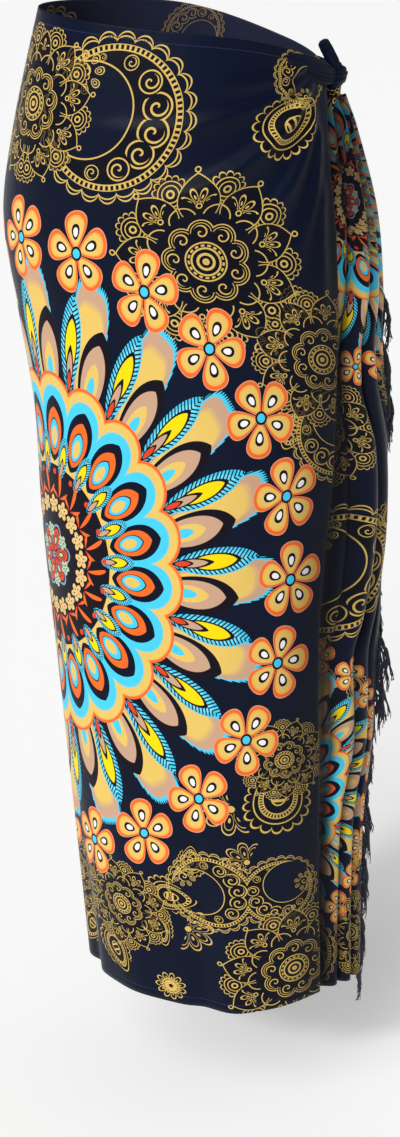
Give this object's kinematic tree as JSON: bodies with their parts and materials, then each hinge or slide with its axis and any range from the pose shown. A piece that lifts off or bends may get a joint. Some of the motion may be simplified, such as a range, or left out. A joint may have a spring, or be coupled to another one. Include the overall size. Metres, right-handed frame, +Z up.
{
  "type": "sarong",
  "caption": "Ankle-length wrapped cloth tied in a knot at the left hip, with a pleated end that falls beside the front slit and a fringe down its free edge.",
  "frame": {"origin": "centre of the waist opening, at the height of the rim on the wearer's right hip", "axes": "+Z up the body, +X to the wearer's left, -Y to the wearer's front"},
  "size_m": [0.4139, 0.2782, 1.135],
  "materials": {
    "printed_rayon": "soft satin, printed in many colours on navy, paler on the back",
    "fringe_thread": "matt twisted threads"
  },
  "bodies": {
    "root": {"wrap_front": "printed_rayon", "wrap_back": "printed_rayon", "fall": "printed_rayon", "fall_fringe": "fringe_thread", "knot_core": "printed_rayon", "knot_loop": "printed_rayon", "knot_ear": "printed_rayon", "knot_front_arm": "printed_rayon", "knot_back_arm": "printed_rayon"}
  },
  "joints": []
}
